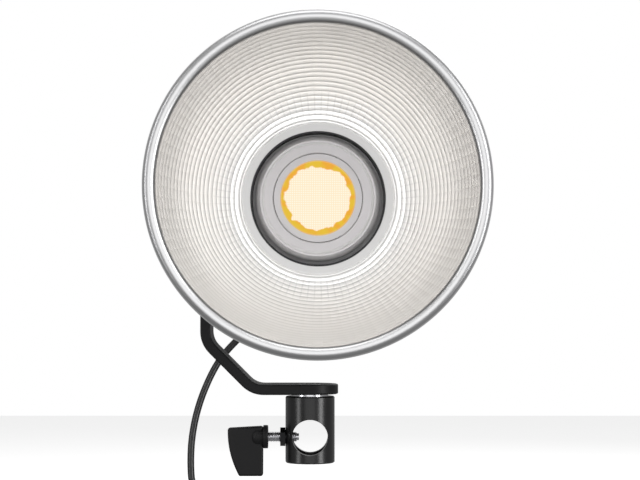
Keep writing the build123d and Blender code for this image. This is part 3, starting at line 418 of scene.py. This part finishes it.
def display_glass():
    """The dark window with its lit figures: a level bar and a short row of figures."""
    made = Finish("display_glass", specular_ior_level=0.6, roughness=0.08, emission_strength=1.2)
    low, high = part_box("display_window")
    parts = made.node("SeparateXYZ", None, {0: made.place()})
    across = (Field(made, parts.socket.node.outputs[0]) - low.x) / (high.x - low.x)
    up = (Field(made, parts.socket.node.outputs[2]) - low.z) / (high.z - low.z)
    segment = (across * 14).math("FRACT", across * 14)
    bars = segment.band(0.25, 0.3) * across.band(0.86, 0.84) * across.band(0.22, 0.24)
    row = up.band(0.20, 0.22) * up.band(0.36, 0.34)
    figures = (across * 9).math("FRACT", across * 9).band(0.35, 0.38) * across.band(0.68, 0.66)
    top = up.band(0.52, 0.54) * up.band(0.80, 0.78) * across.band(0.33, 0.35)
    glow = bars * row + figures * top
    made.set("Base Color", made.mix(made.noise(120.0), (0.006, 0.007, 0.008), (0.012, 0.013, 0.015)))
    made.set("Emission Color", made.mix(glow, 0.0, (0.30, 0.75, 0.85)))
    return made.material


def make_finishes():
    """One material for each of the record's slots."""
    vertical = (900.0, 900.0, 25.0)
    lengthways = (25.0, 900.0, 900.0)
    return {
        "black_coat": black_paint("bracket_powder_coat", (0.0070, 0.0068, 0.0073), 0.44, 2600.0),
        "black_tube": black_paint(
            "socket_anodised", (0.0050, 0.0049, 0.0053), 0.30, 1900.0, 0.12, 0.38,
        ),
        "steel": bare_metal("zinc_plated_steel", (0.74, 0.74, 0.76), 0.24, lengthways),
        "dark_steel": bare_metal("black_oxide_steel", (0.018, 0.018, 0.019), 0.34, lengthways),
        "knob_plastic": black_paint("knob_grained_plastic", (0.0085, 0.0083, 0.0088), 0.48, 3200.0),
        "reflector": spun_aluminium("spun_aluminium", (0.60, 0.595, 0.59), 0.34),
        "nose": nose_aluminium(),
        "phosphor": lit_phosphor(),
        "ceramic": plain_matt("white_ceramic", (0.76, 0.76, 0.74), (0.84, 0.84, 0.82), 0.45, 300.0),
        "sink": black_paint("sink_black_anodised", (0.045, 0.045, 0.048), 0.36, 1500.0),
        "housing": black_paint("housing_satin_black", (0.024, 0.024, 0.0255), 0.38, 2400.0, 0.0, 0.4),
        "rear_plastic": black_paint(
            "rear_grained_plastic", (0.036, 0.036, 0.038), 0.46, 3000.0, 0.0, 0.45,
        ),
        "rubber": black_paint("soft_rubber", (0.014, 0.014, 0.0145), 0.55, 1800.0, 0.0, 0.5),
        "board": circuit_board(),
        "component": plain_matt(
            "potted_component", (0.03, 0.03, 0.04), (0.07, 0.07, 0.085), 0.35, 400.0,
        ),
        "window": display_glass(),
        "cord": cable_jacket(),
        "fibre": plain_matt("friction_fibre", (0.15, 0.12, 0.09), (0.25, 0.20, 0.15), 0.7, 900.0),
    }


# ---- making meshes ------------------------------------------------------------
def on_lamp_axis(radius, along, angle):
    """Place on the lamp: distance from its axis, Y, and angle from straight right."""
    return Vector((LAMP.x + radius * math.cos(angle), along, LAMP.z + radius * math.sin(angle)))


def link(name, mesh, body, *materials):
    piece = bpy.data.objects.new(name, mesh)
    bpy.context.scene.collection.objects.link(piece)
    for material in materials:
        mesh.materials.append(material)
    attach(piece, body)
    return piece


def lathe(outline, columns, place, nudge=None, closed=False, sharp_rows=(), sharp_columns=None):
    """A turned mesh. outline is (radius, along) row by row; nudge(row, column) adds to a radius."""
    work = bmesh.new()
    grid = []
    for row, (radius, along) in enumerate(outline):
        ring = []
        for column in range(columns):
            extra = nudge(row, column) if nudge else 0.0
            ring.append(work.verts.new(place(radius + extra, along, 2 * math.pi * column / columns)))
        grid.append(ring)
    last = len(grid) if closed else len(grid) - 1
    for row in range(last):
        low, high = grid[row], grid[(row + 1) % len(grid)]
        for column in range(columns):
            after = (column + 1) % columns
            work.faces.new((low[column], low[after], high[after], high[column]))
    if not closed:
        work.faces.new(reversed(grid[0]))
        work.faces.new(grid[-1])
    bmesh.ops.recalc_face_normals(work, faces=work.faces)
    for face in work.faces:
        face.smooth = True
    for row in sharp_rows:
        for column in range(columns):
            edge = work.edges.get((grid[row][column], grid[row][(column + 1) % columns]))
            edge.smooth = False
    if sharp_columns:
        for row in range(*sharp_columns[1]):
            for column in range(0, columns, sharp_columns[0]):
                work.edges.get((grid[row][column], grid[row + 1][column])).smooth = False
    mesh = bpy.data.meshes.new("turned")
    work.to_mesh(mesh)
    work.free()
    return mesh


# ---- reflector ------------------------------------------------------------
def bowl_y(radius):
    """The bowl's depth at a radius: a smooth line through the corners of BOWL_CURVE."""
    slopes = []
    for i in range(len(BOWL_CURVE)):
        (r0, y0), (r1, y1) = BOWL_CURVE[max(i - 1, 0)], BOWL_CURVE[min(i + 1, len(BOWL_CURVE) - 1)]
        slopes.append((y1 - y0) / (r1 - r0))
    i = max(k for k in range(len(BOWL_CURVE) - 1) if radius >= BOWL_CURVE[k][0] or k == 0)
    (r0, y0), (r1, y1) = BOWL_CURVE[i], BOWL_CURVE[i + 1]
    step = r1 - r0
    t = (radius - r0) / step
    return (
        (1 + 2 * t) * (1 - t) ** 2 * y0
        + t * (1 - t) ** 2 * step * slopes[i]
        + t * t * (3 - 2 * t) * y1
        + t * t * (t - 1) * step * slopes[i + 1]
    )


def groove_radius(count):
    """The radius of a groove, counted outwards from the first."""
    return RING_FIRST_R + RING_FIRST_PITCH * (1 - math.exp(-RING_NARROWING * count)) / RING_NARROWING


def bowl_rows():
    """The inside's rows as (radius, crown share), and the rows that are grooves."""
    first, rim = BOWL_CURVE[0][0], BOWL_CURVE[-1][0]
    grooved = [groove_radius(count) for count in range(MOST_RINGS)]
    edges = [first] + [r for r in grooved if first < r < rim - RING_LEAST] + [rim]
    rows, grooves = [], []
    for r0, r1 in zip(edges, edges[1:]):
        grooves.append(len(rows))
        for split in range(RING_SPLITS):
            t = split / RING_SPLITS
            rows.append((r0 + (r1 - r0) * t, (1 - (2 * t - 1) ** 2) * (r1 - r0) / RING_FIRST_PITCH))
    rows.append((rim, 0.0))
    return rows, grooves


def reflector_bowl(finishes):
    rows, grooves = bowl_rows()
    columns = FACETS * FACET_SPLITS
    inside = [(radius, bowl_y(radius)) for radius, crown in rows]
    outside = [(radius + BOWL_WALL, y) for radius, y in inside[:: -RING_SPLITS * 2]]
    floor_back = inside[0][1] + BOWL_WALL
    outline = inside + outside + [(inside[0][0] + BOWL_WALL, floor_back), (THROAT_R, floor_back)]
    outline.append((THROAT_R, inside[0][1]))

    def crown(row, column):
        if not 0 < row < len(rows) - 1:
            return 0.0
        t = (column % FACET_SPLITS) / FACET_SPLITS
        pillow = (1 - (2 * t - 1) ** 2) * FACET_CROWN
        return -rows[row][1] * RING_CROWN - pillow

    mesh = lathe(
        outline, columns, on_lamp_axis, crown, closed=True,
        sharp_rows=grooves + [len(rows) - 1, len(outline) - 3, len(outline) - 2, len(outline) - 1],
        sharp_columns=(FACET_SPLITS, (1, len(rows) - 1)),
    )
    bowl = link("ringed_bowl", mesh, "reflector", finishes["ringed"], finishes["reflector"])
    for face in mesh.polygons:
        row = face.index // columns
        face.material_index = 0 if row < len(rows) - 1 else 1
    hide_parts("reflector_bowl")


def rim_bead(finishes):
    """The rolled rim: a round bead, a closed ring of round section at the bowl's mouth."""
    low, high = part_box("reflector_bowl")
    middle = ((high.x - low.x) / 2 - BEAD_R, low.y + BEAD_R)
    steps = BEAD_STEPS
    turns = [2 * math.pi * i / steps for i in range(steps)]
    outline = [(middle[0] + BEAD_R * math.cos(a), middle[1] + BEAD_R * math.sin(a)) for a in turns]
    mesh = lathe(outline, BEAD_COLUMNS, on_lamp_axis, closed=True)
    link("rim_bead", mesh, "reflector", finishes["bead"])


# ---- emitter ------------------------------------------------------------
def emitter(finishes):
    low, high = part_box("cob_emitter")
    radius = (high.x - low.x) / 2
    outline = [(radius, high.y), (radius, low.y + EMITTER_DOME)]
    for i in range(1, EMITTER_RINGS):
        r = radius * (1 - i / EMITTER_RINGS)
        outline.append((r, low.y + EMITTER_DOME - EMITTER_DOME * (1 - (r / radius) ** 2)))
    mesh = lathe(outline, EMITTER_COLUMNS, on_lamp_axis, sharp_rows=(1,))
    disc = link("lit_emitter", mesh, "head", finishes["phosphor"])
    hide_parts("cob_emitter")


# ---- clamp screw ------------------------------------------------------------
def clamp_screw(finishes):
    low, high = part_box("clamp_screw")
    axis = (low + high) / 2
    crest = (high.z - low.z) / 2
    length = high.x - low.x
    count = int(length / THREAD_PITCH * THREAD_ROWS)

    def around_x(radius, along, angle):
        return Vector((along, axis.y + radius * math.cos(angle), axis.z + radius * math.sin(angle)))

    def cut(row, column):
        turn = row / THREAD_ROWS - column / THREAD_STEPS
        share = abs((turn % 1.0) * 2 - 1)
        depth = THREAD_DEPTH * min(1.0, max(0.0, share * 1.5 - 0.25))
        taper = 0.0005 * max(0.0, 1 - (count - row) / 3)
        return -max(depth, taper)

    outline = [(crest, low.x + length * row / count) for row in range(count + 1)]
    mesh = lathe(outline, THREAD_STEPS, around_x, cut)
    mesh.set_sharp_from_angle(angle=math.radians(40))
    screw = link("threaded_screw", mesh, "clamp_grip", finishes["steel"])
    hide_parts("clamp_screw")


# ---- power lead ------------------------------------------------------------
def coil_points():
    """The coil's turns, laid as strands that wander round the bundle so that none cross."""
    top, bottom = Vector(LEAD_ROUTE[-1]), Vector(TAIL_ROUTE[0])
    middle = (top + bottom) / 2
    low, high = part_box("cord_coil")
    middle.z = low.z / 2 + high.z / 2
    end = COIL_TURNS * 360 - COIL_ENTRY
    step = 360 / COIL_TURN_POINTS
    points = []
    turn = COIL_ENTRY
    while turn <= end + 0.01:
        lay = math.radians(COIL_LAY_START + turn / COIL_STRANDS)
        radius = COIL_R + COIL_BUNDLE_R * math.cos(lay)
        angle = math.radians(turn)
        points.append((
            middle.x + radius * math.sin(angle),
            middle.y + COIL_BUNDLE_R * math.sin(lay),
            middle.z + radius * math.cos(angle),
        ))
        turn += step
    return points


def nurbs(name, points, thickness):
    """A smooth open curve with these control points, thick or a bare line."""
    data = bpy.data.curves.new(name, "CURVE")
    data.dimensions = "3D"
    data.bevel_depth = thickness
    data.bevel_resolution = 4
    data.resolution_u = 6
    spline = data.splines.new("NURBS")
    spline.points.add(len(points) - 1)
    for control, point in zip(spline.points, points):
        control.co = (*point, 1.0)
    spline.order_u = 3
    spline.use_endpoint_u = True
    data.use_fill_caps = thickness > 0
    return bpy.data.objects.new(name, data)


def power_lead(finishes):
    """The lead with its tied coil and tail, as one fixed tube laid between the head and the bracket.
    """
    route = LEAD_ROUTE + coil_points() + TAIL_ROUTE
    graph = bpy.context.evaluated_depsgraph_get
    line, thick = nurbs("lead_line", route, 0.0), nurbs("lead_tube", route, CORD_R)
    for curve in (line, thick):
        bpy.context.scene.collection.objects.link(curve)
    bpy.context.view_layer.update()
    path = [tuple(v.co) for v in bpy.data.meshes.new_from_object(line.evaluated_get(graph())).vertices]
    mesh = bpy.data.meshes.new_from_object(thick.evaluated_get(graph()))
    for curve in (line, thick):
        bpy.data.objects.remove(curve)
    for face in mesh.polygons:
        face.use_smooth = True
    mesh.materials.clear()
    mesh.materials.append(finishes["cord"])
    lead = bpy.data.objects.new("power_lead", mesh)
    bpy.context.scene.collection.objects.link(lead)
    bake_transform(lead)
    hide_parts("cord_lead", "cord_coil", "cord_tail")


# ---- camera, room and light ------------------------------------------------------------
def camera():
    data = bpy.data.cameras.new("front_camera")
    data.lens = CAMERA_LENS
    data.sensor_width = 36.0
    data.clip_start = 0.01
    data.clip_end = 50.0
    seen = bpy.data.objects.new("front_camera", data)
    seen.location = CAMERA_AT
    seen.rotation_euler = (math.radians(90 + CAMERA_PITCH), 0.0, 0.0)
    bpy.context.scene.collection.objects.link(seen)
    bpy.context.scene.camera = seen


def soft_box(name, place, target, size, watts):
    data = bpy.data.lights.new(name, "AREA")
    data.shape = "RECTANGLE"
    data.size, data.size_y = size
    data.energy = watts
    lamp = bpy.data.objects.new(name, data)
    lamp.location = place
    lamp.rotation_euler = (Vector(target) - Vector(place)).to_track_quat("-Z", "Y").to_euler()
    lamp.visible_camera = False
    bpy.context.scene.collection.objects.link(lamp)
    return lamp


def room():
    """A flat pale floor under the lamp, open all round so that every side can be seen."""
    floor_z = min(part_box(n)[0].z for n in frame["nodes"]) - FLOOR_GAP
    corners = [(x, y, floor_z) for x, y in ((-1, -1), (1, -1), (1, 1), (-1, 1))]
    mesh = bpy.data.meshes.new("floor")
    mesh.from_pydata([(x * FLOOR_HALF, y * FLOOR_HALF, z) for x, y, z in corners], [], [(0, 1, 2, 3)])
    floor = bpy.data.objects.new("floor", mesh)
    bpy.context.scene.collection.objects.link(floor)
    paper = Finish("floor_paper", roughness=0.9, specular_ior_level=0.1, emission_strength=1.0)
    cloud = paper.noise(0.7, 1.0)
    paper.set("Base Color", paper.mix(cloud, 0.86, 0.9))
    paper.set("Emission Color", paper.mix(cloud, 0.55, 0.57))
    mesh.materials.append(paper.material)
    floor.visible_glossy = False
    floor.visible_diffuse = False


def lights():
    scene = bpy.context.scene
    scene.view_settings.view_transform = "Standard"
    world = bpy.data.worlds.new("studio")
    scene.world = world
    world.use_nodes = True
    nodes, links = world.node_tree.nodes, world.node_tree.links
    seen = nodes.new("ShaderNodeLightPath")
    share = nodes.new("ShaderNodeMix")
    share.inputs[2].default_value = ROOM_GLOW
    share.inputs[3].default_value = 1.0
    links.new(seen.outputs["Is Camera Ray"], share.inputs[0])
    links.new(share.outputs[0], nodes["Background"].inputs["Strength"])
    nodes["Background"].inputs["Color"].default_value = (1.0, 1.0, 1.0, 1.0)
    for name, place, size, watts in SOFT_BOXES:
        soft_box(name, place, AIM, size, watts)
    face = (LAMP.x, EMITTER_LIGHT_Y, LAMP.z)
    ahead = (LAMP.x, -1.0, LAMP.z)
    glow = soft_box("emitter_light", face, ahead, (EMITTER_LIGHT_D, EMITTER_LIGHT_D), EMITTER_WATTS)
    glow.data.shape = "DISK"
    throat_light()


def throat_light():
    """Light that the bowl throws back into its own throat: it reaches the bowl alone."""
    data = bpy.data.lights.new("throat_light", "POINT")
    data.energy = THROAT_WATTS
    data.shadow_soft_size = THROAT_LIGHT_R
    bounce = bpy.data.objects.new("throat_light", data)
    bounce.location = (LAMP.x, THROAT_LIGHT_Y, LAMP.z)
    bounce.visible_camera = False
    bpy.context.scene.collection.objects.link(bounce)
    lit = bpy.data.collections.new("bowl_only")
    lit.objects.link(bpy.data.objects["ringed_bowl"])
    bounce.light_linking.receiver_collection = lit


# ---- put together ------------------------------------------------------------
def dress_nodes(finishes):
    """Each CAD node that is shown gets the finish of its slot."""
    for part in frame["record"]["subparts"]:
        slots = frame["nodes"][part["node"]].data.materials
        slots.clear()
        slots.append(finishes[part["material_slot"]])


def build():
    camera()
    finishes = make_finishes()
    finishes["ringed"] = ringed_aluminium()
    finishes["bead"] = rolled_rim()
    dress_nodes(finishes)
    power_lead(finishes)
    reflector_bowl(finishes)
    rim_bead(finishes)
    emitter(finishes)
    clamp_screw(finishes)
    room()
    lights()


build()
